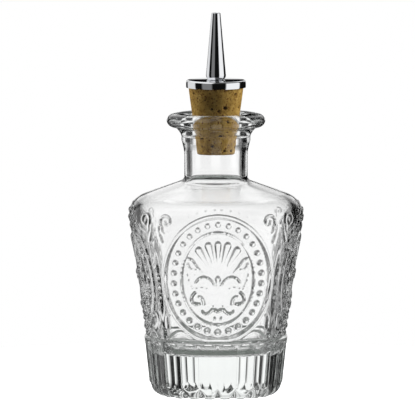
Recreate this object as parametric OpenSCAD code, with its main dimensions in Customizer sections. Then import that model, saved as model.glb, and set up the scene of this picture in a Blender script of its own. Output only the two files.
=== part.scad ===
// Bitters bottle: a square-shouldered pressed glass bottle on a thick fluted base,
// closed by a tapered cork that carries a chromed dasher top.
// The origin is the centre of the base, on the surface the bottle stands on. +Z is up.

/* [Fluted base] */
// How far the top of the fluted band stands out past the foot of the body
band_proud = 0.7; // [0.2:0.05:1]
// How far each face of the band draws in from its top to the foot's chamfer
band_draft = 1.7; // [1:0.1:3]
// How far the chamfer draws in each face of the foot
foot_in = 2.6; // [1:0.1:3]
// Height of the chamfer round the foot
foot_h = 4.3; // [2:0.1:6]
// Height of the top of the fluted band above the table
band_h = 20.2; // [16:0.1:24]
// Height of the step between the fluted band and the body
step_h = 1.6; // [0.8:0.1:3]
// Flutes on each of the four faces
flutes_per_face = 6; // [4:1:8]
// Depth of a flute
flute_depth = 0.9; // [0.5:0.05:1.3]
// Width of the land left between two flutes
flute_land = 0.5; // [0.3:0.05:1]
// Height of the arch at the top of a flute
flute_arch_h = 2; // [1:0.1:3]
// Thickness of the solid glass under the inside floor
floor_t = 15; // [8:0.1:18]
// Width of the flat ring that the bottle stands on, at the middle of a face
rest_ring = 5; // [3:0.1:8]
// Depth of the hollow under the base
punt_depth = 0.8; // [0.3:0.05:1.5]

/* [Body] */
// Width across the faces at the foot of the body
body_low_w = 49.3; // [42:0.1:56]
// Width across the faces at the shoulder
body_top_w = 62.2; // [52:0.1:74]
// Height of the body, from the step to the widest point
body_h = 43.5; // [34:0.1:54]
// Thickness of the body's wall
wall = 3.2; // [1.8:0.1:4]
// How far beyond the bottle's axis each rounded face has its centre
face_offset = 8.9; // [5:0.1:14]
// Radius between the inside floor and the inside walls
floor_round = 5; // [2:0.1:6]

/* [Shoulder] */
// Radius of the rounded edge of the shoulder
shoulder_round = 9; // [6:0.1:11]
// Slope of the shoulder below the horizontal, in degrees
shoulder_slope = 20; // [14:1:30]
// How far the body's rounded corners stand out past the middle of its faces
corner_proud = 0.4; // [0:0.1:1.5]
// How far below the widest point the shoulder's rounding begins
shoulder_drop = 2.7; // [1:0.1:4]
// Thickness of the shoulder's wall
shoulder_wall = 2.2; // [1.6:0.1:3]

/* [Neck and lip] */
// Thickness of the neck's wall at its waist
neck_wall = 2.05; // [1.5:0.05:3]
// How far the neck's bore widens under the mouth
neck_swell = 0.7; // [0:0.1:1.2]
// Radius where the neck rises from the shoulder
neck_root_round = 2; // [1:0.1:3]
// Height of the straight waist of the neck
neck_waist_h = 7.3; // [3:0.1:9]
// Height over which the neck widens to its ring
neck_flare_h = 4.8; // [4:0.1:9]
// Thickness of the neck's wall at the ring under the lip
neck_ring_wall = 3.75; // [2.6:0.05:4.5]
// Height of the ring under the lip
neck_ring_h = 2; // [1.5:0.1:4]
// Height of the cone from the ring to the lip's underside
lip_cone_h = 3.2; // [2:0.1:5]
// Thickness of the wall where that cone meets the lip
lip_cone_wall = 5.9; // [5:0.1:7]
// Width of the lip, from the bore to its outer edge
lip_w = 9; // [8:0.1:12]
// Thickness of the lip
lip_t = 4.9; // [4:0.1:7]
// Radius of the lip's outer edge
lip_round = 1.9; // [1:0.1:1.9]
// Radius of the mouth's inner edge
mouth_round = 1; // [0.5:0.1:1.6]

/* [Cork] */
// Diameter of the cork at its top
cork_top_d = 19.8; // [19:0.1:20.5]
// Diameter of the cork at its lower end
cork_low_d = 13.6; // [12:0.1:16]
// Length of the cork
cork_len = 25.4; // [20:0.1:32]
// Height of the cork's top above the lip
cork_proud = 11.1; // [7:0.1:14]
// Size of the chamfer round the cork's ends
cork_chamfer = 0.4; // [0.2:0.1:0.8]
// Radial gap between the cork and the bore where it seats
seat_gap = 0.05; // [0.02:0.01:0.1]

/* [Dasher top] */
// Thickness of the cap's skirt
cap_skirt_t = 0.55; // [0.4:0.05:1]
// Height of the cap with its skirt
cap_h = 2.7; // [2:0.1:4]
// Thickness of the cap's top plate
cap_t = 0.7; // [0.5:0.05:1.2]
// Radial gap between the cork and the inside of the cap's skirt
cap_gap = 0.15; // [0.1:0.01:0.2]
// Radius of the cap's top edge
cap_round = 0.5; // [0.3:0.05:0.6]
// Height of the spout above the cap
spout_h = 23.8; // [18:0.1:30]
// Largest diameter of the spout
spout_d = 7.1; // [6:0.1:9]
// Diameter of the spout's foot where it stands on the cap
spout_foot_d = 5.4; // [4.5:0.1:5.8]
// Height of the spout's rounded foot
spout_foot_h = 1.9; // [1.2:0.1:3]
// Diameter of the spout's tip
spout_tip_d = 3.2; // [2.6:0.1:4]
// Diameter of the pouring bore
spout_bore_d = 1.8; // [1.2:0.1:2]
// Outside diameter of the tube through the cork
stem_d = 4.4; // [4:0.1:6]
// Wall of the tube through the cork
stem_wall = 0.7; // [0.5:0.05:0.8]
// How far the tube stops short of the cork's lower end
stem_short = 0.6; // [0.3:0.1:2]
// Length of the spout's spigot inside the tube
spigot_len = 2.2; // [1.5:0.1:4]
// Radial gap between the tube and the cork, and between the spigot and its holes
stem_gap = 0.05; // [0.02:0.01:0.1]

/* [Hidden] */
$fn = 96;
arc_steps = 6;
cut = 1;

// Points of an arc about c with radius r, from angle a to angle b
function arc(c, r, a, b) =
    [for (i = [0:arc_steps]) let (t = a + (b - a) * i / arc_steps) c + r * [cos(t), sin(t)]];

// Half widths and heights of the base and body
band_top_half = body_low_w / 2 + band_proud;
band_low_half = band_top_half - band_draft;
foot_half = band_low_half - foot_in;
body_z = band_h + step_h;
widest_z = body_z + body_h;
body_lean = (body_top_w - body_low_w) / 2 / body_h;
function body_half(z) = body_low_w / 2 + (z - body_z) * body_lean;

// The cork's taper fixes the bore: they touch where the mouth's rounding ends
cork_lean = (cork_top_d - cork_low_d) / 2 / cork_len;
bore_r = cork_top_d / 2 - (cork_proud + mouth_round) * cork_lean + seat_gap;

// The shoulder's rounded edge ends on the straight slope that runs up to the neck
shoulder_c = [body_top_w / 2 + corner_proud - shoulder_round, widest_z - shoulder_drop];
shoulder_end = shoulder_c + shoulder_round * [sin(shoulder_slope), cos(shoulder_slope)];
neck_bore_r = bore_r + neck_swell;
neck_r = neck_bore_r + neck_wall;
neck_root_r = neck_r + neck_root_round * (1 - sin(shoulder_slope));
neck_root_z = shoulder_end[1] + (shoulder_end[0] - neck_root_r) * tan(shoulder_slope);
neck_root_c = [neck_r + neck_root_round, neck_root_z + neck_root_round * cos(shoulder_slope)];
waist_z = neck_root_c[1] + neck_waist_h;
ring_z = waist_z + neck_flare_h;
lip_cone_z = ring_z + neck_ring_h;
lip_z = lip_cone_z + lip_cone_h;
mouth_z = lip_z + lip_t;

lip_r = bore_r + lip_w;

// Heights and radii of the stopper
cork_z = mouth_z + cork_proud;
function cork_half(z) = cork_top_d / 2 - (cork_z - z) * cork_lean;
cap_z = cork_z + cap_t;
cap_inner_r = cork_top_d / 2 + cap_gap;
cap_r = cap_inner_r + cap_skirt_t;
stem_bore_r = stem_d / 2 - stem_wall;
spigot_r = stem_bore_r - stem_gap;

// A face's arc reaches half_w from the axis. It meets the next face's arc at this angle
function corner_at(half_w) =
    (sqrt(2 * pow(half_w + face_offset, 2) - pow(face_offset, 2)) - face_offset) / 2;
function face_angle(half_w) =
    atan2(corner_at(half_w), corner_at(half_w) + face_offset);

// Four rounded faces from one outline of half widths and heights
module four_faces(outline) {
    intersection_for (side = [0:3])
        rotate(90 * side)
            translate([-face_offset, 0, 0])
                rotate_extrude()
                    polygon(concat(
                        [[0, outline[0][1]]],
                        [for (p = outline) [p[0] + face_offset, p[1]]],
                        [[0, outline[len(outline) - 1][1]]]
                    ));
}

module outer_faces() {
    four_faces([
        [foot_half, 0],
        [band_low_half, foot_h],
        [band_top_half, band_h],
        [body_low_w / 2, body_z],
        [body_half(mouth_z), mouth_z]
    ]);
}

// Round outline of the shoulder, neck and lip, which also rounds the body's corners
module outer_round() {
    rotate_extrude()
        polygon(concat(
            [[0, 0], [shoulder_c[0] + shoulder_round, 0]],
            arc(shoulder_c, shoulder_round, 0, 90 - shoulder_slope),
            arc(neck_root_c, neck_root_round, 270 - shoulder_slope, 180),
            [
                [neck_r, waist_z],
                [bore_r + neck_ring_wall, ring_z],
                [bore_r + neck_ring_wall, lip_cone_z],
                [bore_r + lip_cone_wall, lip_z]
            ],
            arc([lip_r - lip_round, lip_z + lip_round], lip_round, -90, 0),
            arc([lip_r - lip_round, mouth_z - lip_round], lip_round, 0, 90),
            [[0, mouth_z]]
        ));
}

module cavity_faces() {
    low_half = body_half(floor_t) - wall;
    four_faces(concat(
        arc([low_half - floor_round, floor_t + floor_round], floor_round, -90, 0),
        [[body_half(mouth_z) - wall, mouth_z + cut]]
    ));
}

module cavity_round() {
    inner_round = shoulder_round - shoulder_wall;
    inner_c = [shoulder_c[0] + shoulder_wall - wall, shoulder_c[1]];
    inner_end = inner_c + inner_round * [sin(shoulder_slope), cos(shoulder_slope)];
    bore_foot_z = inner_end[1] + (inner_end[0] - neck_bore_r) * tan(shoulder_slope);
    rotate_extrude()
        polygon(concat(
            [[0, floor_t], [inner_c[0] + inner_round, floor_t]],
            arc(inner_c, inner_round, 0, 90 - shoulder_slope),
            [[neck_bore_r, bore_foot_z], [neck_bore_r, lip_cone_z], [bore_r, lip_z]],
            arc([bore_r + mouth_round, mouth_z - mouth_round], mouth_round, 180, 90),
            [[bore_r + mouth_round, mouth_z + cut], [0, mouth_z + cut]]
        ));
}

// One flute's cutter: a leaning cylinder with a pointed end that leaves an arch
module flute_cutter(r, reach) {
    straight_h = band_h - flute_arch_h + cut;
    rotate_extrude()
        polygon([[0, 0], [r, 0], [r, straight_h], [0, straight_h + flute_arch_h * r / reach]]);
}

module flutes() {
    band_r = (band_low_half + band_top_half) / 2 + face_offset;
    half_angle = face_angle((band_low_half + band_top_half) / 2);
    pitch = 2 * half_angle / flutes_per_face;
    half_width = band_r * pitch * PI / 360 - flute_land / 2;
    reach = flute_depth - pow(half_width, 2) / (2 * band_r);
    cutter_r = (pow(half_width, 2) + pow(reach, 2)) / (2 * reach);
    lean = band_draft / (band_h - foot_h);
    low_r = band_low_half - (foot_h + cut) * lean + face_offset;
    for (side = [0:3])
        rotate(90 * side)
            translate([-face_offset, 0, 0])
                for (k = [0:flutes_per_face - 1])
                    rotate((k + 0.5) * pitch - half_angle)
                        translate([low_r + cutter_r - flute_depth, 0, -cut])
                            rotate([0, atan(lean), 0])
                                flute_cutter(cutter_r, reach);
}

module punt() {
    punt_r = foot_half - rest_ring;
    ball_r = (pow(punt_r, 2) + pow(punt_depth, 2)) / (2 * punt_depth);
    translate([0, 0, punt_depth - ball_r])
        sphere(ball_r);
}

module glass_bottle() {
    color([0.83, 0.9, 0.9, 0.45])
        difference() {
            intersection() {
                outer_faces();
                outer_round();
            }
            intersection() {
                cavity_faces();
                cavity_round();
            }
            flutes();
            punt();
        }
}

// Tapered cork, drilled through for the tube
module cork() {
    low_z = cork_z - cork_len;
    hole_r = stem_d / 2 + stem_gap;
    color([0.72, 0.55, 0.3])
        rotate_extrude()
            polygon([
                [hole_r, low_z],
                [cork_low_d / 2 - cork_chamfer, low_z],
                [cork_half(low_z + cork_chamfer), low_z + cork_chamfer],
                [cork_half(cork_z - cork_chamfer), cork_z - cork_chamfer],
                [cork_top_d / 2 - cork_chamfer, cork_z],
                [hole_r, cork_z]
            ]);
}

// Stamped cap: a thin plate on the cork's top, with a skirt round it
module dasher_cap() {
    hole_r = spigot_r + stem_gap;
    color([0.78, 0.79, 0.81])
        rotate_extrude()
            polygon(concat(
                [
                    [hole_r, cork_z],
                    [cap_inner_r, cork_z],
                    [cap_inner_r, cap_z - cap_h],
                    [cap_r, cap_z - cap_h]
                ],
                arc([cap_r - cap_round, cap_z - cap_round], cap_round, 0, 90),
                [[hole_r, cap_z]]
            ));
}

// Turned spout: a rounded foot, a long cone and a spigot into the tube
module dasher_spout() {
    bore_r = spout_bore_d / 2;
    foot_r = spout_foot_d / 2;
    bulge = spout_d / 2 - foot_r;
    color([0.8, 0.81, 0.83])
        rotate_extrude()
            polygon(concat(
                [
                    [bore_r, cork_z - spigot_len],
                    [spigot_r, cork_z - spigot_len],
                    [spigot_r, cap_z],
                    [foot_r, cap_z]
                ],
                [for (i = [1:arc_steps]) let (t = 90 * i / arc_steps)
                    [foot_r + bulge * sin(t), cap_z + spout_foot_h * (1 - cos(t))]],
                [[spout_tip_d / 2, cap_z + spout_h], [bore_r, cap_z + spout_h]]
            ));
}

// Tube from the cap down through the cork
module dasher_stem() {
    low_z = cork_z - cork_len + stem_short;
    color([0.7, 0.71, 0.73])
        rotate_extrude()
            polygon([
                [stem_bore_r, low_z],
                [stem_d / 2, low_z],
                [stem_d / 2, cork_z],
                [stem_bore_r, cork_z]
            ]);
}

glass_bottle();
cork();
dasher_cap();
dasher_spout();
dasher_stem();
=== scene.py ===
"""Looks of the bitters bottle: relief glass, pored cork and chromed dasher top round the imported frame."""

import math

import bpy
import numpy as np
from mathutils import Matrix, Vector, noise


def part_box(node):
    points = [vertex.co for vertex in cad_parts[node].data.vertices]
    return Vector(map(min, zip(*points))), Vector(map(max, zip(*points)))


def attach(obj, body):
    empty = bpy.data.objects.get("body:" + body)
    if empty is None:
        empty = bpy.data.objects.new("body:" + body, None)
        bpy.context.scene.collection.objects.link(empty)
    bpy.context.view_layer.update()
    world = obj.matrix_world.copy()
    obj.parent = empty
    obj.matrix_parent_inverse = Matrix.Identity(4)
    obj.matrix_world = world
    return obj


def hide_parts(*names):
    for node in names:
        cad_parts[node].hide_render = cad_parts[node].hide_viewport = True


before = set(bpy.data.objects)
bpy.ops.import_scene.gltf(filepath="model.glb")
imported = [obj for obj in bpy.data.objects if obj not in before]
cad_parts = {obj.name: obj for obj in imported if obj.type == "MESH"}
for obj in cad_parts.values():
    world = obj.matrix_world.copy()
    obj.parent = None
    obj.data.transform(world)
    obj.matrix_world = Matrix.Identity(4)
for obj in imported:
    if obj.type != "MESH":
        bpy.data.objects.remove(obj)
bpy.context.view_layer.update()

# Sizes of the bottle, the cork and its metal top are in millimetres, those of the studio in metres
MM = 0.001

# Solid base and its foot
FLOOR_T = 15.0
FLOOR_ROUND = 7.0
FOOT_H = 4.3
FOOT_IN = 2.6
REST_RING = 5.0
PUNT_DEPTH = 0.8
PUNT_ROWS = 8

# Fluted band and the step above it. The land is a share of half a flute, and the flutes end at FLUTE_LOW_Z
BAND_H = 20.2
BAND_PROUD = 0.7
BAND_DRAFT = 1.7
STEP_H = 1.6
FLUTES_PER_FACE = 6
FLUTE_DEPTH = 0.55
FLUTE_LAND = 0.04
FLUTE_ARCH_H = 2.6
FLUTE_LOW_Z = 1.2
LOBE_DEPTH = 0.9
LOBE_LIFT = 0.8

# Body with four rounded faces, each with its centre beyond the bottle's axis
BODY_LOW_HALF = 24.65
BODY_TOP_HALF = 31.1
BODY_H = 43.5
BODY_Z = BAND_H + STEP_H
BODY_LEAN = (BODY_TOP_HALF - BODY_LOW_HALF) / BODY_H
FACE_OFFSET = 8.9
CORNER_R = 31.5
CORNER_BLEND = 1.5
WALL = 3.2

# Shoulder
SHOULDER_Z = 62.6
SHOULDER_ROUND = 9.0
SHOULDER_SLOPE = math.radians(20)
SHOULDER_WALL = 2.2

# Neck, whose bore swells below the lip. Walls are measured from the mouth's bore, except the neck's own
BORE_R = 8.474
NECK_SWELL = 0.7
NECK_WALL = 2.05
NECK_RING_WALL = 3.75
NECK_BORE_R = BORE_R + NECK_SWELL
NECK_R = NECK_BORE_R + NECK_WALL
NECK_RING_R = BORE_R + NECK_RING_WALL
NECK_ROOT_ROUND = 2.0
NECK_WAIST_H = 7.3
NECK_FLARE_H = 4.8
NECK_RING_H = 2.0
BORE_FOOT_ROUND = 4.05

# Lip, and the cone that carries it. LIP_SINK is how far its rounded edges lie below its crown
LIP_CONE_WALL = 5.7
LIP_CONE_R = BORE_R + LIP_CONE_WALL
LIP_CONE_H = 3.2
LIP_W = 9.0
LIP_R = BORE_R + LIP_W
LIP_T = 4.9
LIP_ROUND = 2.4
LIP_SINK = 0.3
MOUTH_ROUND = 1.0

# Unevenness of the inside, and of the foot, where it is strongest at FOOT_RIPPLE_Z
INSIDE_RIPPLE = 0.07
INSIDE_RIPPLE_SCALE = 0.11
FOOT_RIPPLE = 0.45
FOOT_RIPPLE_SCALE = 0.33
FOOT_RIPPLE_Z = 0.6 * FOOT_H

# Relief on the faces: where it begins, its middle, and its share on the right, back, left and front
RELIEF_Z = BAND_H + STEP_H / 2
RELIEF_FADE_H = 1.0
MEDALLION_Z = 43.6
FACE_SHARES = (0.6, 0.3, 0.6, 1.0)
OUTER_OVAL = (19.6, 22.5)
INNER_OVAL = (13.1, 16.9)
BEAD_OVAL = (16.1, 19.7)
BEADS = 30
BEAD_R = 1.2
BEAD_H = 0.85
DOT_OVAL = (23.2, 25.4)
FULLNESS = 1.7

# Fineness of the glass: columns round it, how far they gather at the faces' middles, and row steps
COLUMNS = 480
GATHER = 0.22
FACE_STEP = 0.41
ARCH_STEP = 0.26

# Half width so large that only the circle shapes a ring
ROUND_ONLY = 1e3

# Cork
CORK_TOP_R = 9.9
CORK_LOW_R = 6.6
CORK_HOLE_R = 2.25
CORK_EDGE = 0.4
CORK_COLUMNS = 200

# Pores in the cork. Cells are per millimetre and radii in cells. Only cells valued over PORE_LEAST have one
PORE_DEPTH = 0.5
PORE_CELLS = (0.42, 0.42, 0.5)
PORE_SHIFT = Vector((3.1, 7.7, 1.9))
PORE_LEAST = -0.2
PORE_LEAST_R = 0.16
PORE_EXTRA_R = 0.3
TINY_CELLS = 1.3
TINY_SHIFT = Vector((9.2, 4.4, 6.1))
TINY_R = 0.2
TINY_SHARE = 0.55
# How dark the pores turn: their dark filling plus painted shade, strongest in their deepest middles
PIT_DARKEN = 1.6

# Cap and spout
CAP_SKIRT_T = 0.55
CAP_T = 0.7
CAP_HOLE_R = 1.5
CAP_ROUND = 0.7
SPOUT_BORE_R = 0.9
SPOUT_FOOT_R = 2.7
SPOUT_FOOT_H = 1.9
SPOUT_WIDE_R = 3.55
SPOUT_TIP_R = 1.6
SPIGOT_R = 1.45

# Studio
LAMP_TARGET = Vector((0, 0, 0.07))
FLOOR_R = 0.16
FLOOR_SIDES = 96
FLOOR_GAP = 0.00005
BLACK = 0.005


# Camera


def make_camera():
    """A long lens a little above the bottle, as the photograph was taken."""
    distance = 3.5
    elevation = math.radians(5.7)
    turn = math.radians(-1.4)
    frame_width = 0.1473
    target = Vector((-0.0030, 0, 0.0662))
    flat = math.cos(elevation)
    back = Vector((math.sin(turn) * flat, -math.cos(turn) * flat, math.sin(elevation)))
    data = bpy.data.cameras.new("camera")
    data.sensor_width = 36
    data.lens = data.sensor_width * distance / frame_width
    data.clip_end = 100
    camera = bpy.data.objects.new("camera", data)
    bpy.context.collection.objects.link(camera)
    camera.location = target + back * distance
    camera.rotation_mode = "QUATERNION"
    camera.rotation_quaternion = (-back).to_track_quat("-Z", "Y")
    bpy.context.scene.camera = camera


# Node helpers


def new_material(name):
    """A material with an empty node tree, and the tree."""
    material = bpy.data.materials.new(name)
    material.use_nodes = True
    tree = material.node_tree
    tree.nodes.clear()
    return material, tree


def add(tree, kind, **values):
    """A new node with properties and input values set by name."""
    node = tree.nodes.new("ShaderNode" + kind)
    for key, value in values.items():
        if hasattr(node, key) and key not in node.inputs:
            setattr(node, key, value)
        else:
            node.inputs[key].default_value = value
    return node


def maths(tree, operation, *operands):
    """A Math node on sockets or numbers, and its output."""
    node = add(tree, "Math", operation=operation)
    for socket, operand in zip(node.inputs, operands):
        if isinstance(operand, (int, float)):
            socket.default_value = operand
        else:
            tree.links.new(operand, socket)
    return node.outputs[0]


def ramp(tree, factor, stops):
    """A Color Ramp on a socket from (place, brightness or colour) stops."""
    node = add(tree, "ValToRGB")
    marks = node.color_ramp.elements
    while len(marks) > 1:
        marks.remove(marks[-1])
    for i, (place, shade) in enumerate(stops):
        mark = marks[0] if i == 0 else marks.new(place)
        mark.position = place
        mark.color = (*shade, 1) if isinstance(shade, tuple) else (shade, shade, shade, 1)
    tree.links.new(factor, node.inputs[0])
    return node.outputs[0]


def mix_colour(tree, factor, a, b):
    """A Mix node between two colours, each a socket or three numbers."""
    node = add(tree, "Mix", data_type="RGBA")
    tree.links.new(factor, node.inputs[0])
    for socket, value in ((node.inputs[6], a), (node.inputs[7], b)):
        if isinstance(value, tuple):
            socket.default_value = (*value, 1)
        else:
            tree.links.new(value, socket)
    return node.outputs[2]


def pick_shader(tree, factor, otherwise, picked):
    """One shader where the factor is 1, and the other where it is 0."""
    node = add(tree, "MixShader")
    for socket, value in zip(node.inputs, (factor, otherwise, picked)):
        tree.links.new(value, socket)
    return node.outputs[0]


def set_surface(tree, shader, kind="OutputMaterial"):
    """An output node with a shader on its surface."""
    output = add(tree, kind)
    tree.links.new(shader, output.inputs["Surface"])
    return output


# Studio. Angles round it are degrees from the camera's side, positive to the camera's right


def around(degrees):
    """Place of an angle on the ramps that run round the studio."""
    return (degrees + 180) / 360


def level_of(degrees):
    """Place of an elevation on the ramps that run from the floor up."""
    return math.sin(math.radians(degrees)) / 2 + 0.5


def cards(tree, place, edges, blur):
    """Upright cards from (start angle, brightness) edges, each edge soft over the blur."""
    stops = [(0.0, edges[0][1])]
    for (_, before), (start, after) in zip(edges, edges[1:]):
        stops.append((around(start - blur), before))
        stops.append((around(start + blur), after))
    stops.append((1.0, edges[-1][1]))
    return ramp(tree, place, stops)


def layered(tree, height, lowest, layers):
    """The lowest shade, then one layer above another, each fading in between its two elevations."""
    seen = lowest
    for low, high, layer in layers:
        fade = ramp(tree, height, [(level_of(low), 0.0), (level_of(high), 1.0)])
        seen = mix_colour(tree, fade, seen, layer)
    return seen


def seen_through_glass(tree, place, height):
    """A white window on each of four sides at the horizon, black between them, and soft cards elsewhere."""
    off_axis = maths(tree, "PINGPONG", maths(tree, "MULTIPLY", place, 8.0), 1.0)
    windows = ramp(tree, off_axis, [(0.36, 1.0), (0.48, 0.35), (0.56, BLACK)])
    lowest = [(-180, 0.14), (-152, 0.9), (-110, 0.45), (-70, 0.9), (-30, 0.45), (-10, 0.9)]
    lowest += [(110, 0.35), (152, 0.14)]
    below = [(-180, 1.0), (-159, 0.4), (-112, 1.0), (-68, 0.45), (-56, 0.9), (112, 0.3), (159, 1.0)]
    above = [(-180, 0.75), (-169, 0.5), (-149, 0.06), (-118, 0.5), (-60, 0.3), (60, 0.4)]
    above += [(112, 0.02), (169, 0.75)]
    high = [(-180, 1.0), (-150, 0.3), (150, 1.0)]
    layers = [
        (-42, -34, cards(tree, place, lowest, 4.0)),
        (-25, -18, cards(tree, place, below, 5.0)),
        (-12, -7, windows),
        (8, 14, cards(tree, place, above, 3.0)),
        (25, 33, cards(tree, place, high, 8.0)),
        (50, 70, (0.6, 0.6, 0.6)),
    ]
    return layered(tree, height, (0.16, 0.18, 0.165), layers)


def mirrored(tree, place, height):
    """Upright cards round the horizon, soft boxes overhead and behind, and a grey floor."""
    front = [(-143, 0.8), (-90, BLACK), (-57, 0.2), (-17, BLACK), (39, 1.0), (103, BLACK)]
    horizon = cards(tree, place, [(-180, BLACK), *front], 3.0)
    rim = [(-180, 0.9), (-157, BLACK), *front, (157, 0.9)]
    behind = [(-180, 1.0), (-150, BLACK), *front, (150, 1.0), (172, BLACK)]
    overhead = [(-180, 1.0), (-15, 0.1), (140, 1.0)]
    zenith = [(-180, 0.05), (-155, 1.0), (-20, 0.05)]
    layers = [
        (-45, -35, horizon),
        (-4.5, -3.5, cards(tree, place, rim, 3.0)),
        (3.0, 4.2, horizon),
        (7.4, 9, cards(tree, place, behind, 3.0)),
        (24, 32, cards(tree, place, overhead, 8.0)),
        (52, 60, cards(tree, place, zenith, 8.0)),
    ]
    return layered(tree, height, (0.5, 0.5, 0.5), layers)


def make_world():
    """White to the camera, dim to rough surfaces, and a studio of cards to metal and glass."""
    world = bpy.data.worlds.new("studio")
    bpy.context.scene.world = world
    world.use_nodes = True
    tree = world.node_tree
    tree.nodes.clear()
    split = add(tree, "SeparateXYZ")
    tree.links.new(add(tree, "TexCoord").outputs["Generated"], split.inputs[0])
    x, y, z = split.outputs
    azimuth = maths(tree, "ARCTAN2", x, maths(tree, "MULTIPLY", y, -1.0))
    place = maths(tree, "MULTIPLY_ADD", azimuth, 1 / (2 * math.pi), 0.5)
    height = maths(tree, "MULTIPLY_ADD", z, 0.5, 0.5)
    path = add(tree, "LightPath")
    shade = (0.1, 0.1, 0.105)
    shade = mix_colour(tree, path.outputs["Is Glossy Ray"], shade, mirrored(tree, place, height))
    through = seen_through_glass(tree, place, height)
    shade = mix_colour(tree, path.outputs["Is Transmission Ray"], shade, through)
    shade = mix_colour(tree, path.outputs["Is Camera Ray"], shade, (1.0, 1.0, 1.0))
    background = add(tree, "Background")
    tree.links.new(shade, background.inputs["Color"])
    set_surface(tree, background.outputs[0], "OutputWorld")


def floor_material():
    """White to the camera outside the bottle's shadow, and absent for the rays of metal and glass."""
    material, tree = new_material("floor")
    diffuse = add(tree, "BsdfDiffuse", Color=(0.8, 0.8, 0.8, 1))
    glow = add(tree, "Emission", Color=(1, 1, 1, 1), Strength=0.85)
    clear = add(tree, "BsdfTransparent", Color=(1, 1, 1, 1))
    lit = add(tree, "AddShader")
    tree.links.new(diffuse.outputs[0], lit.inputs[0])
    tree.links.new(glow.outputs[0], lit.inputs[1])
    path = add(tree, "LightPath").outputs
    optic = maths(tree, "MAXIMUM", path["Is Glossy Ray"], path["Is Transmission Ray"])
    shader = pick_shader(tree, path["Is Camera Ray"], diffuse.outputs[0], lit.outputs[0])
    shader = pick_shader(tree, optic, shader, clear.outputs[0])
    set_surface(tree, shader)
    return material


def make_floor():
    """A disc just under the bottle that keeps its shadow."""
    turn = 2 * math.pi / FLOOR_SIDES
    ring = [(FLOOR_R * math.cos(turn * i), FLOOR_R * math.sin(turn * i), 0) for i in range(FLOOR_SIDES)]
    mesh = bpy.data.meshes.new("floor")
    mesh.from_pydata(ring, [], [tuple(range(FLOOR_SIDES))])
    mesh.materials.append(floor_material())
    floor = bpy.data.objects.new("floor", mesh)
    floor.location.z = -FLOOR_GAP
    bpy.context.collection.objects.link(floor)


def make_lamp(name, place, size, power):
    """A soft rectangular lamp aimed at the bottle, unseen in metal and glass."""
    data = bpy.data.lights.new(name, "AREA")
    data.shape = "RECTANGLE"
    data.size, data.size_y = size
    data.energy = power
    lamp = bpy.data.objects.new(name, data)
    lamp.location = place
    lamp.rotation_mode = "QUATERNION"
    lamp.rotation_quaternion = (LAMP_TARGET - Vector(place)).to_track_quat("-Z", "Y")
    lamp.visible_glossy = False
    lamp.visible_transmission = False
    lamp.visible_camera = False
    bpy.context.collection.objects.link(lamp)


def make_studio():
    """World, floor and lamps."""
    make_world()
    make_floor()
    make_lamp("strip_right", (0.55, 0.0, 0.25), (0.2, 0.5), 3.6)
    make_lamp("strip_left", (-0.55, 0.2, 0.25), (0.2, 0.5), 3.0)
    make_lamp("overhead", (0.0, 0.1, 0.7), (0.5, 0.5), 1.3)
    bpy.context.scene.view_settings.view_transform = "Standard"


# Materials


def glass_material():
    """Clear glass. Shadow rays pass it, a little dimmed, so the bottle casts a pale shadow."""
    material, tree = new_material("clear_glass")
    glass = add(
        tree,
        "BsdfPrincipled",
        **{"Base Color": (1, 1, 1, 1), "Roughness": 0.0, "IOR": 1.5, "Transmission Weight": 1.0},
    )
    clear = add(tree, "BsdfTransparent", Color=(0.9, 0.91, 0.91, 1))
    path = add(tree, "LightPath").outputs
    shader = pick_shader(tree, path["Is Shadow Ray"], glass.outputs[0], clear.outputs[0])
    output = set_surface(tree, shader)
    tint = add(tree, "VolumeAbsorption", Color=(0.9, 0.965, 0.93, 1), Density=8.0)
    tree.links.new(tint.outputs[0], output.inputs["Volume"])
    return material


def chrome_material(name, tint):
    """Polished chrome plate with faint wiping marks in its gloss."""
    material, tree = new_material(name)
    metal = add(tree, "BsdfPrincipled", **{"Base Color": (*tint, 1), "Metallic": 1.0})
    marks = add(tree, "TexNoise", Scale=900.0, Detail=4.0, Roughness=0.6)
    tree.links.new(add(tree, "TexCoord").outputs["Object"], marks.inputs["Vector"])
    gloss = add(tree, "MapRange", **{"To Min": 0.0, "To Max": 0.05})
    tree.links.new(marks.outputs[0], gloss.inputs["Value"])
    tree.links.new(gloss.outputs[0], metal.inputs["Roughness"])
    set_surface(tree, metal.outputs[0])
    return material


def cork_material():
    """Golden cork: mottled bark, darker flecks and near-black pores, whose dark filling carries painted shade
    that deepens towards each pore's middle.
    """
    material, tree = new_material("cork")
    place = add(tree, "TexCoord").outputs["Object"]
    mottle = add(tree, "TexNoise", Scale=420.0, Detail=6.0, Roughness=0.65)
    fleck = add(tree, "TexNoise", Scale=1500.0, Detail=3.0, Roughness=0.5)
    for node in (mottle, fleck):
        tree.links.new(place, node.inputs["Vector"])
    shades = [(0.3, (0.24, 0.135, 0.03)), (0.5, (0.41, 0.25, 0.062)), (0.7, (0.56, 0.37, 0.11))]
    bark = ramp(tree, mottle.outputs[0], shades)
    speck = ramp(tree, fleck.outputs[0], [(0.36, 1.0), (0.43, 0.0)])
    bark = mix_colour(tree, speck, bark, (0.13, 0.05, 0.012))
    # Near-black in the pores: their dark filling plus painted shade that follows each pore's depth
    pore_fill_and_shade = add(tree, "Attribute", attribute_name="pore_fill_and_shade")
    colour = mix_colour(tree, pore_fill_and_shade.outputs["Fac"], bark, (0.028, 0.011, 0.004))
    cork = add(tree, "BsdfPrincipled", **{"Roughness": 0.75, "Specular IOR Level": 0.25})
    tree.links.new(colour, cork.inputs["Base Color"])
    bump = add(tree, "Bump", Strength=0.35, Distance=0.0002)
    tree.links.new(mottle.outputs[0], bump.inputs["Height"])
    tree.links.new(bump.outputs[0], cork.inputs["Normal"])
    set_surface(tree, cork.outputs[0])
    return material


# Outlines and meshes


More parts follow.
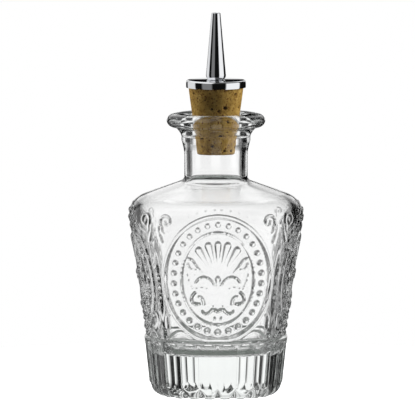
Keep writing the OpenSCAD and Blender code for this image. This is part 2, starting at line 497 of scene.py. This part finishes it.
def arc(centre, radius, start, end, count=24):
    """Points of an arc, angles in radians."""
    t = np.linspace(start, end, count)
    return np.column_stack((centre[0] + radius * np.cos(t), centre[1] + radius * np.sin(t)))


def spiral(centre, start_radius, end_radius, start, sweep, count=28):
    """Points of a scroll, angles in degrees."""
    t = np.linspace(0, 1, count)
    radius = start_radius + (end_radius - start_radius) * t
    angle = np.radians(start + sweep * t)
    return np.column_stack((centre[0] + radius * np.cos(angle), centre[1] + radius * np.sin(angle)))


def curve(points, samples=10):
    """A smooth line through a few points, as a polyline."""
    p = np.asarray(points, float)
    p = np.vstack((2 * p[0] - p[1], p, 2 * p[-1] - p[-2]))
    t = np.linspace(0, 1, samples, endpoint=False)[:, None]
    out = []
    for a, b, c, d in zip(p, p[1:], p[2:], p[3:]):
        bend = (2 * a - 5 * b + 4 * c - d) * t**2 + (3 * b - a - 3 * c + d) * t**3
        out.append((2 * b + (c - a) * t + bend) / 2)
    return np.vstack((*out, p[-2:-1]))


def lengths(points):
    """Distance along a polyline at each of its points."""
    return np.concatenate(([0], np.cumsum(np.linalg.norm(np.diff(points, axis=0), axis=1))))


def spread(points, step):
    """A polyline's points set again at even steps no longer than step."""
    points = np.asarray(points, float)
    along = lengths(points)
    count = max(math.ceil(along[-1] / step), 1) + 1
    at = np.linspace(0, along[-1], count)
    return np.column_stack([np.interp(at, along, points[:, k]) for k in range(points.shape[1])])


def stitch(rings, low_centre, high_centre):
    """A closed mesh from rings of points, each with as many as the ring before it or half as many."""
    starts = [0]
    for ring in rings:
        starts.append(starts[-1] + len(ring))
    faces = []
    for a, b, ring, after in zip(starts, starts[1:], rings, rings[1:]):
        count, kept = len(ring), len(after)
        if count == kept:
            for j in range(count):
                k = (j + 1) % count
                faces.append((a + j, a + k, b + k, b + j))
        elif count == 2 * kept:
            for j in range(kept):
                k = (j + 1) % kept
                faces.append((a + 2 * j, a + 2 * j + 1, b + j))
                faces.append((a + 2 * j + 1, b + k, b + j))
                faces.append((a + 2 * j + 1, a + (2 * j + 2) % count, b + k))
        else:
            raise ValueError("ring sizes do not match")
    first, last = len(rings[0]), len(rings[-1])
    low, high = starts[-1], starts[-1] + 1
    faces += [(low, (j + 1) % first, j) for j in range(first)]
    faces += [(high, starts[-2] + j, starts[-2] + (j + 1) % last) for j in range(last)]
    return np.vstack((*rings, low_centre, high_centre)), faces


def make_mesh(name, points, faces, material, sharp):
    """An object of its own from points in millimetres, with edges sharp past an angle in degrees."""
    mesh = bpy.data.meshes.new(name)
    mesh.from_pydata((np.asarray(points) * MM).tolist(), [], faces)
    mesh.materials.append(material)
    mesh.shade_smooth()
    mesh.set_sharp_from_angle(angle=math.radians(sharp))
    made = bpy.data.objects.new(name, mesh)
    bpy.context.collection.objects.link(made)
    return made


def turned(name, outline, columns, material, sharp):
    """A closed round piece from an outline of radius and height that loops back to its start."""
    t = np.arange(columns) / columns * 2 * math.pi
    rings = [np.column_stack((r * np.cos(t), r * np.sin(t), np.full(columns, z))) for r, z in outline]
    faces = []
    for i in range(len(rings)):
        a, b = i * columns, (i + 1) % len(rings) * columns
        for j in range(columns):
            k = (j + 1) % columns
            faces.append((a + j, a + k, b + k, b + j))
    return make_mesh(name, np.vstack(rings), faces, material, sharp)


# Relief. Places are millimetres across and up from the medallion's centre, on the face


def line_height(u, v, points, width, height, ends):
    """Height of a rounded moulding along a polyline whose width tapers to its ends' shares."""
    best = np.full(u.shape, -1.0)
    count = len(points) - 1
    for i in range(count):
        (ax, ay), (bx, by) = points[i], points[i + 1]
        dx, dy = bx - ax, by - ay
        t = np.clip(((u - ax) * dx + (v - ay) * dy) / (dx * dx + dy * dy), 0, 1)
        share = ends[0] + (ends[1] - ends[0]) * (i + t) / count
        half = width / 2 * share
        d2 = ((u - ax - t * dx) ** 2 + (v - ay - t * dy) ** 2) / half**2
        best = np.maximum(best, (1 - d2**FULLNESS) * share)
    return height * np.clip(best, 0, None)


def dot_height(u, v, centre, radius, height, lengthen=1.0, turn=0.0):
    """Height of a round or drop-like boss."""
    c, s = math.cos(math.radians(turn)), math.sin(math.radians(turn))
    du, dv = u - centre[0], v - centre[1]
    across, along = du * c + dv * s, (dv * c - du * s) / lengthen
    return height * np.clip(1 - (across**2 + along**2) / radius**2, 0, None)


def oval_height(u, v, oval, width, height):
    """Height of a rounded moulding along an oval."""
    across, up = oval
    ratio = np.sqrt((u / across) ** 2 + (v / up) ** 2) + 1e-9
    slope = np.sqrt((u / across**2) ** 2 + (v / up**2) ** 2) / ratio + 1e-9
    off = np.abs((ratio - 1) / slope / (width / 2))
    return height * np.clip(1 - off ** (2 * FULLNESS), 0, None)


def highest(kind, u, v, pieces):
    """Height where mouldings or bosses of one kind overlap, each piece a tuple of its sizes."""
    return np.maximum.reduce([kind(u, v, *piece) for piece in pieces])


def oval_point(oval, angle):
    """A point of an oval at an angle from its top."""
    return oval[0] * math.sin(angle), oval[1] * math.cos(angle)


def bead_places():
    """Even steps round the bead oval, one bead at its top."""
    angles = np.linspace(0, 2 * math.pi, 721)
    along = lengths([oval_point(BEAD_OVAL, angle) for angle in angles])
    at = np.interp(np.arange(BEADS) * along[-1] / BEADS, along, angles)
    return [oval_point(BEAD_OVAL, angle) for angle in at]


def medallion(u, v):
    """Two ovals with a row of beads between them."""
    ovals = highest(oval_height, u, v, [(OUTER_OVAL, 1.6, 0.7), (INNER_OVAL, 1.0, 0.6)])
    beads = highest(dot_height, u, v, [(place, BEAD_R, BEAD_H) for place in bead_places()])
    return np.maximum(ovals, beads)


def palmette(a, v):
    """A shell of five lobes that narrow to its foot, and two thin stems on each side of it."""
    lobes = [
        ([(0, 12.5), (0, 6.2)], 2.6, 1.0, (1.0, 0.35)),
        ([(3.4, 12.1), (1.6, 5.8)], 2.8, 1.0, (1.0, 0.35)),
        ([(6.8, 10.4), (3.6, 5.0)], 2.8, 1.0, (1.0, 0.35)),
    ]
    stems = [
        (curve([(10.3, 7.3), (8.9, 6.6), (7.1, 4.1), (5.6, 2.2)]), 1.0, 0.8, (1.0, 0.7)),
        (curve([(10.8, 5.6), (10.1, 4.1), (8.9, 3.2), (7.4, 3.5)]), 0.9, 0.6, (1.0, 0.7)),
    ]
    drops = [((2.0, 6.0), 0.5, 0.5, 2.2, -18), ((3.9, 5.0), 0.5, 0.5, 2.4, -34)]
    return np.maximum(highest(line_height, a, v, lobes + stems), highest(dot_height, a, v, drops))


def leaves(a, v):
    """A bud on its stem between two leaves, each with a thin line under it and a stalk beside it."""
    leaf = [(1.2, -2.3), (1.9, -1.0), (3.2, 0.2), (4.9, 0.65), (6.6, 0.2), (7.9, -1.3)]
    lines = [
        ([(0, -0.6), (0, -4.4)], 1.7, 0.5, (1.0, 0.3)),
        (curve(leaf), 1.15, 1.0, (0.7, 0.8)),
        (curve([(3.6, -3.7), (5.7, -3.2), (8.2, -3.7)]), 0.8, 0.4, (0.7, 0.8)),
        (curve([(11.3, 3.3), (10.8, 0.9), (10.1, -1.6), (9.0, -3.8)]), 0.8, 0.45, (0.5, 1.0)),
    ]
    drops = [
        ((0, -0.1), 1.15, 1.0, 1.25, 0),
        ((8.1, 1.2), 0.5, 0.4, 1.5, 20),
        ((10.6, -2.1), 0.5, 0.4, 1.5, -35),
        ((11.0, -5.0), 0.45, 0.35, 1.0, 0),
    ]
    return np.maximum(highest(line_height, a, v, lines), highest(dot_height, a, v, drops))


def scrolls(a, v):
    """Two hooks on each side over a wavy line, with drops round them."""
    outer = [(8.1, -5.0), (9.2, -6.4), (9.15, -8.2), (7.8, -9.3), (6.5, -9.0)]
    inner = [(7.0, -6.5), (5.9, -6.7), (5.2, -7.7), (4.9, -9.1)]
    wave = [(0, -11.8), (1.8, -11.1), (2.8, -12.1), (4.3, -12.9), (5.5, -11.9)]
    lines = [
        (curve(outer), 1.3, 1.2, (0.8, 0.8)),
        (curve(inner), 1.2, 1.0, (0.6, 1.0)),
        (curve(wave), 1.2, 1.05, (1.0, 0.7)),
    ]
    drops = [
        ((1.7, -10.1), 0.5, 0.5, 1.0, 0),
        ((3.5, -10.6), 0.45, 0.35, 1.0, 0),
        ((1.1, -14.6), 0.5, 0.6, 1.9, -14),
    ]
    return np.maximum(highest(line_height, a, v, lines), highest(dot_height, a, v, drops))


def corners(a, v):
    """A scroll and its stem in each upper corner, strokes beside the medallion, and dots over it."""
    stem = [(21.0, 18.6), (20.6, 16.4), (19.0, 16.2), (15.4, 17.9), (13.4, 19.0)]
    lines = [
        (spiral((18.9, 20.3), 2.6, 0.6, -30, 400), 0.9, 0.6, (1.0, 0.8)),
        (curve(stem), 0.9, 0.45, (1.0, 0.4)),
        (curve([(22.3, 19.0), (21.9, 16.0), (20.8, 13.0)]), 1.3, 0.4, (0.6, 1.0)),
        (curve([(16.4, -12.4), (18.6, -14.0), (18.4, -18.0)]), 1.3, 0.4, (0.6, 1.0)),
        (curve([(8.2, -22.4), (12.4, -19.6), (15.2, -20.1), (17.0, -22.2)]), 1.3, 0.4, (0.4, 1.0)),
    ]
    dots = [(oval_point(DOT_OVAL, math.radians(angle)), 0.6, 0.3) for angle in range(3, 36, 8)]
    return np.maximum(highest(line_height, a, v, lines), highest(dot_height, a, v, dots))


def ornament(u, v):
    """Height of one face's relief, which mirrors left to right."""
    a = np.abs(u)
    return np.maximum.reduce([medallion(u, v), palmette(a, v), leaves(a, v), scrolls(a, v), corners(a, v)])


# Glass bottle


def body_half(z):
    """Half width of the body across its faces at a height."""
    return BODY_LOW_HALF + (z - BODY_Z) * BODY_LEAN


def face_half_angle(half_width):
    """Angle, seen from a face's own centre, between the face's middle and its corner."""
    corner = (np.sqrt(2 * (half_width + FACE_OFFSET) ** 2 - FACE_OFFSET**2) - FACE_OFFSET) / 2
    return np.arctan2(corner, corner + FACE_OFFSET)


def smooth_min(a, b, blend):
    """The smaller of two values, with a soft change from one to the other."""
    share = np.clip(0.5 + 0.5 * (b - a) / blend, 0, 1)
    return b * (1 - share) + a * share - blend * share * (1 - share)


def squared_ring(half_width, round_r, z, columns):
    """Points of one ring of four rounded faces cut by a circle, and their share and distance along a face."""
    side = np.repeat(np.arange(4), columns // 4)
    s = np.tile(np.arange(columns // 4) / (columns // 4) * 2 - 1, 4)
    s = s - GATHER * np.sin(math.pi * s) / math.pi
    radius = half_width + FACE_OFFSET
    turn = s * face_half_angle(half_width)
    x, y = radius * np.cos(turn) - FACE_OFFSET, radius * np.sin(turn)
    far = np.hypot(x, y)
    r = smooth_min(far, round_r, CORNER_BLEND)
    angle = np.arctan2(y, x) + side * math.pi / 2
    ring = np.column_stack((r * np.cos(angle), r * np.sin(angle), np.full(columns, z)))
    return ring, s, radius * turn * r / far


def neck_foot(slope_point, neck_r, radius):
    """The round corner between the shoulder's slope through a point and an upright wall."""
    corner_z = slope_point[1] + (slope_point[0] - neck_r) * math.tan(SHOULDER_SLOPE)
    rise = 1 / math.cos(SHOULDER_SLOPE) - math.tan(SHOULDER_SLOPE)
    centre = (neck_r + radius, corner_z + radius * rise)
    return arc(centre, radius, 1.5 * math.pi - SHOULDER_SLOPE, math.pi, 10)


def shoulder_outline():
    """Radius and height of the shoulder's rounded edge, and of the round corner at the neck's root."""
    centre = (CORNER_R - SHOULDER_ROUND, SHOULDER_Z)
    edge = arc(centre, SHOULDER_ROUND, 0, math.pi / 2 - SHOULDER_SLOPE)
    return edge, neck_foot(edge[-1], NECK_R, NECK_ROOT_ROUND)


def neck_heights():
    """Heights of the neck's waist, its ring, the cone over the ring, the lip and the mouth."""
    _, root = shoulder_outline()
    waist_z = root[-1][1] + NECK_WAIST_H
    ring_z = waist_z + NECK_FLARE_H
    cone_z = ring_z + NECK_RING_H
    lip_z = cone_z + LIP_CONE_H
    return waist_z, ring_z, cone_z, lip_z, lip_z + LIP_T


def neck_outline():
    """Radius and height from the neck's waist over the ring and the lip to the bore."""
    waist_z, ring_z, cone_z, lip_z, mouth_z = neck_heights()
    flare = curve([
        (NECK_R, waist_z), (NECK_R + 0.15, waist_z + 1.8), (NECK_RING_R - 0.3, ring_z - 0.5),
        (NECK_RING_R, ring_z + 0.7), (NECK_RING_R + 0.02, cone_z), (NECK_RING_R + 0.6, cone_z + 1.3),
        (LIP_CONE_R, lip_z - 0.3), (LIP_CONE_R + 1.0, lip_z - 0.02),
    ])
    edge_r = LIP_R - LIP_ROUND
    top_z = mouth_z - LIP_SINK
    low_edge = arc((edge_r, lip_z + LIP_ROUND), LIP_ROUND, -math.pi / 2, 0, 12)
    top_edge = arc((edge_r, top_z - LIP_ROUND), LIP_ROUND, 0, math.pi / 2 - 0.12, 12)
    crown = curve([(LIP_R - 3.0, mouth_z - 0.1), (LIP_R - 5.0, mouth_z), (BORE_R + 2.0, mouth_z - 0.12)], 5)
    mouth_centre = (BORE_R + MOUTH_ROUND, top_z - MOUTH_ROUND)
    mouth = arc(mouth_centre, MOUTH_ROUND, math.pi / 2 - 0.15, math.pi, 8)
    return np.vstack((spread(flare, 0.5), spread(np.vstack((low_edge, top_edge, crown, mouth)), 0.4)))


def flute_height(s, z):
    """Relief of the flutes, their arched tops and the lobes below them, and the lobes' lift."""
    t = np.mod((s + 1) / 2 * FLUTES_PER_FACE, 1) * 2 - 1
    t2 = (t * (1 + FLUTE_LAND)) ** 2
    arch = max(z - (BAND_H - FLUTE_ARCH_H), 0) / FLUTE_ARCH_H
    foot = min(max((z - FLUTE_LOW_Z) / (FOOT_H - FLUTE_LOW_Z), 0), 1)
    cut = -FLUTE_DEPTH * np.clip(foot - arch**2 - t2 * foot, 0, None)
    return cut - LOBE_DEPTH * (1 - foot) * t2**2, LOBE_LIFT * t2**2 * max(1 - z / FOOT_H, 0)


def base_rows():
    """Half width and height of the outer rings, from the hollow under the base to the step over the band."""
    top_half = BODY_LOW_HALF + BAND_PROUD
    low_half = top_half - BAND_DRAFT
    foot_half = low_half - FOOT_IN
    punt_half = foot_half - REST_RING
    punt = [(w, PUNT_DEPTH * (1 - (w / punt_half) ** 2)) for w in np.linspace(1, punt_half, PUNT_ROWS)]
    rest = [(foot_half - 1.6, 0.0), (foot_half - 0.8, 0.0)]
    chamfer = curve([
        rest[-1], (foot_half + 0.25, 0.5), (low_half - 1.1, 1.6), (low_half - 0.35, 2.9),
        (low_half, FOOT_H),
    ])
    arch_z = BAND_H - FLUTE_ARCH_H
    arch_half = top_half - FLUTE_ARCH_H * BAND_DRAFT / (BAND_H - FOOT_H)
    band = spread([(low_half, FOOT_H), (arch_half, arch_z)], 1.3)
    arches = spread([(arch_half, arch_z), (top_half, BAND_H)], ARCH_STEP)
    step = [(top_half - 0.1, BAND_H + 0.35), (BODY_LOW_HALF + 0.08, BAND_H + STEP_H * 0.55)]
    return np.vstack((punt, rest, spread(chamfer, 0.42)[1:], band[1:], arches[1:], step))


def outer_rows():
    """Half width, round radius and height of the outer rings up to the neck's root."""
    rows = [(w, CORNER_R, z) for w, z in base_rows()]
    edge, root = shoulder_outline()
    line = [(CORNER_R, BODY_Z - 0.3), (CORNER_R, SHOULDER_Z), *edge[1:]]
    # Even steps along the face's own middle line, so that the relief isn't stretched
    middle = [(min(body_half(z), r), z, r) for r, z in line]
    rows += [(body_half(z), r, z) for _, z, r in spread(middle, FACE_STEP)]
    slope = spread([edge[-1], root[0]], 1.0)[1:]
    rows += [(body_half(z), r, z) for r, z in np.vstack((slope, root[1:]))]
    return rows


def inner_rows():
    """Half width, round radius and height of the inner rings, from under the mouth down to the floor."""
    _, _, cone_z, lip_z, mouth_z = neck_heights()
    centre = (CORNER_R + SHOULDER_WALL - WALL - SHOULDER_ROUND, SHOULDER_Z)
    edge = arc(centre, SHOULDER_ROUND - SHOULDER_WALL, math.pi / 2 - SHOULDER_SLOPE, 0)
    funnel = neck_foot(edge[0], NECK_BORE_R, BORE_FOOT_ROUND)[::-1]
    throat = curve([
        (BORE_R, mouth_z - MOUTH_ROUND - 0.5), (BORE_R, lip_z - 0.5), (NECK_BORE_R, cone_z - 0.5),
        tuple(funnel[0]),
    ])
    slope = spread([funnel[-1], edge[0]], 1.2)[1:]
    rows = [(ROUND_ONLY, r, z) for r, z in np.vstack((spread(throat, 1.2)[1:-1], funnel, slope))]
    rows += [(body_half(z) - WALL, r, z) for r, z in spread(edge, 0.8)[1:]]
    low_half = body_half(FLOOR_T) - WALL
    round_half = low_half - FLOOR_ROUND
    round_z = FLOOR_T + FLOOR_ROUND
    walls = spread([(body_half(SHOULDER_Z) - WALL, SHOULDER_Z), (low_half, round_z)], 1.5)[1:]
    corner = arc((round_half, round_z), FLOOR_ROUND, 0, -math.pi / 2, 9)[1:]
    floor = [(w, FLOOR_T) for w in np.linspace(round_half, 1.5, 8)[1:]]
    rows += [(w, CORNER_R - WALL, z) for w, z in np.vstack((walls, corner, floor))]
    return rows, edge[0][1]


def outward(grid):
    """Unit normals of a grid of closed rings."""
    along = np.empty_like(grid)
    along[1:-1] = grid[2:] - grid[:-2]
    along[0], along[-1] = grid[1] - grid[0], grid[-1] - grid[-2]
    round_way = np.roll(grid, -1, axis=1) - np.roll(grid, 1, axis=1)
    normal = np.cross(round_way, along)
    return normal / np.maximum(np.linalg.norm(normal, axis=2, keepdims=True), 1e-9)


def ripple(points, depth, scale):
    """A gentle unevenness, as pressed glass has."""
    return np.array([depth * noise.noise(Vector(p) * scale) for p in points])


def face_relief(grid, across, heights):
    """Height of the ornament on all four faces, fading in over the step."""
    along = lengths(grid[:, COLUMNS // 8])
    up = along - np.interp(MEDALLION_Z, heights[PUNT_ROWS:], along[PUNT_ROWS:])
    body = heights > RELIEF_Z
    u = across[body][:, : COLUMNS // 4]
    v = np.broadcast_to(up[body][:, None], u.shape)
    fade = np.clip((heights[body] - RELIEF_Z) / RELIEF_FADE_H, 0, 1)[:, None]
    height = ornament(u, v) * fade
    relief = np.zeros(across.shape)
    relief[body] = np.hstack([height * share for share in FACE_SHARES])
    return relief


def outer_rings():
    """Rings of the outside up to the neck's root, with the ornament, the flutes and the lobes."""
    rows = outer_rows()
    heights = np.array([z for _, _, z in rows])
    rings = [squared_ring(w, r, z, COLUMNS) for w, r, z in rows]
    grid, phase, across = (np.array(part) for part in zip(*rings))
    relief = face_relief(grid, across, heights)
    lift = np.zeros(across.shape)
    fluted = (heights <= BAND_H + 0.01) & (np.arange(len(rows)) >= PUNT_ROWS)
    for i in np.nonzero(fluted)[0]:
        relief[i], lift[i] = flute_height(phase[i], heights[i])
        share = max(1 - abs(heights[i] / FOOT_RIPPLE_Z - 1), 0)
        relief[i] += ripple(grid[i], FOOT_RIPPLE * share, FOOT_RIPPLE_SCALE)
    grid = grid + outward(grid) * relief[:, :, None]
    grid[:, :, 2] = np.maximum(grid[:, :, 2] + lift, 0)
    return list(grid)


def inner_rings(columns):
    """Rings of the bore, the shoulder's inside, the walls and the floor, uneven below the slope."""
    rows, slope_z = inner_rows()
    rings = []
    for w, r, z in rows:
        ring, _, _ = squared_ring(w, r, z, columns)
        if z <= slope_z:
            far = np.maximum(np.hypot(ring[:, 0], ring[:, 1]), 4)
            ring[:, :2] *= (1 + ripple(ring, INSIDE_RIPPLE, INSIDE_RIPPLE_SCALE) / far)[:, None]
        rings.append(ring)
    return rings


def build_glass(material):
    """The bottle as one closed mesh, with half as many columns in the neck and a quarter inside."""
    rings = outer_rings()
    rings += [squared_ring(ROUND_ONLY, r, z, COLUMNS // 2)[0] for r, z in neck_outline()]
    rings += inner_rings(COLUMNS // 4)
    points, faces = stitch(rings, (0, 0, PUNT_DEPTH), (0, 0, FLOOR_T))
    glass = make_mesh("bottle_glass", points, faces, material, 60)
    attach(glass, "bottle")
    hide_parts("glass_bottle")


# Cork and dasher top


def pore_share(p):
    """Share of a pore's full depth at a point of the cork's skin, from large pores and tiny ones."""
    cells = Vector([side * count for side, count in zip(p, PORE_CELLS)])
    distances, centres = noise.voronoi(cells + PORE_SHIFT)
    chance = noise.cell(centres[0] * 7.3)
    radius = PORE_LEAST_R + PORE_EXTRA_R * abs(chance)
    large = max(0.0, 1 - (distances[0] / radius) ** 2) if chance > PORE_LEAST else 0.0
    distances, _ = noise.voronoi(p * TINY_CELLS + TINY_SHIFT)
    tiny = max(0.0, 1 - (distances[0] / TINY_R) ** 2) * TINY_SHARE
    return max(large, tiny)


def add_pores(mesh, top_z):
    """Sinks pores into the cork's side and lower end, and marks them for the material, which paints them
    near-black: their dark filling plus painted shade, strongest where they sink deepest.
    """
    pits = mesh.color_attributes.new("pore_fill_and_shade", "FLOAT_COLOR", "POINT")
    normals = [vertex.normal.copy() for vertex in mesh.vertices]
    for vertex, normal in zip(mesh.vertices, normals):
        p = vertex.co / MM
        skin = math.hypot(p.x, p.y) > CORK_HOLE_R + 0.5 and p.z < top_z - 0.1
        share = pore_share(p) if skin else 0.0
        vertex.co -= normal * share * PORE_DEPTH * MM
        shade = min(1.0, share * PIT_DARKEN)
        pits.data[vertex.index].color = (shade, shade, shade, 1)


def build_cork(material):
    """A tapered cork, drilled through for the tube."""
    low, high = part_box("cork")
    low_z, high_z = low[2] / MM, high[2] / MM
    side = curve([
        (CORK_LOW_R, low_z + CORK_EDGE), (CORK_LOW_R + 0.75, low_z + 7.0), (8.3, high_z - 12.4),
        (9.3, high_z - 5.5), (CORK_TOP_R, high_z - CORK_EDGE),
    ])
    outline = np.vstack((
        spread([(CORK_HOLE_R, low_z), (CORK_LOW_R - CORK_EDGE, low_z)], 0.5),
        spread(side, 0.3),
        spread([(CORK_TOP_R - CORK_EDGE, high_z), (CORK_HOLE_R, high_z)], 1.0),
        spread([(CORK_HOLE_R, high_z), (CORK_HOLE_R, low_z)], 3.0)[1:-1],
    ))
    cork = turned("tapered_cork", outline, CORK_COLUMNS, material, 50)
    add_pores(cork.data, high_z)
    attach(cork, "stopper")
    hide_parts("cork")


def build_cap(material):
    """A thin plate on the cork's top, with a skirt round it."""
    low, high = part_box("dasher_cap")
    low_z, top_z, cap_r = low[2] / MM, high[2] / MM, high[0] / MM
    inner_r = cap_r - CAP_SKIRT_T
    outline = np.vstack((
        [(CAP_HOLE_R, top_z - CAP_T), (inner_r, top_z - CAP_T), (inner_r, low_z + 0.1)],
        [(cap_r - CAP_SKIRT_T / 2, low_z), (cap_r - 0.05, low_z + 0.05), (cap_r, low_z + 0.25)],
        arc((cap_r - CAP_ROUND, top_z - CAP_ROUND), CAP_ROUND, 0, math.pi / 2, 10),
        [(CAP_HOLE_R, top_z)],
    ))
    piece = turned("cap_plate", outline, 160, material, 40)
    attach(piece, "dasher")
    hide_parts("dasher_cap")


def build_spout(material):
    """A rounded foot on the cap, a long cone with a bore, and a spigot down into the tube."""
    cap_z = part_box("dasher_cap")[1][2] / MM
    low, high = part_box("dasher_spout")
    low_z, tip_z = low[2] / MM, high[2] / MM
    t = np.linspace(0, math.pi / 2, 12)
    foot_r = SPOUT_FOOT_R + (SPOUT_WIDE_R - SPOUT_FOOT_R) * np.sin(t)
    foot = np.column_stack((foot_r, cap_z + SPOUT_FOOT_H * (1 - np.cos(t))))
    soft = arc((SPOUT_WIDE_R - 0.25, cap_z + SPOUT_FOOT_H + 0.1), 0.25, 0, 0.4, 4)
    tip = arc((SPOUT_TIP_R - 0.15, tip_z - 0.15), 0.15, 0.08, math.pi / 2, 6)
    outline = np.vstack((
        [(SPOUT_BORE_R, low_z), (SPIGOT_R, low_z), (SPIGOT_R, cap_z)],
        foot,
        spread([soft[-1], tip[0]], 2.0)[:-1],
        tip,
        [(SPOUT_BORE_R + 0.1, tip_z), (SPOUT_BORE_R, tip_z - 0.15)],
    ))
    piece = turned("pour_spout", outline, 128, material, 45)
    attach(piece, "dasher")
    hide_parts("dasher_spout")


def plate_stem(material):
    """The tube keeps its CAD shape and gets a darker chrome."""
    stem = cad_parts["dasher_stem"]
    stem.data.materials.clear()
    stem.data.materials.append(material)


make_camera()
make_studio()
build_glass(glass_material())
build_cork(cork_material())
chrome = chrome_material("chrome", (0.86, 0.87, 0.89))
build_cap(chrome)
build_spout(chrome)
plate_stem(chrome_material("chrome_tube", (0.7, 0.71, 0.73)))
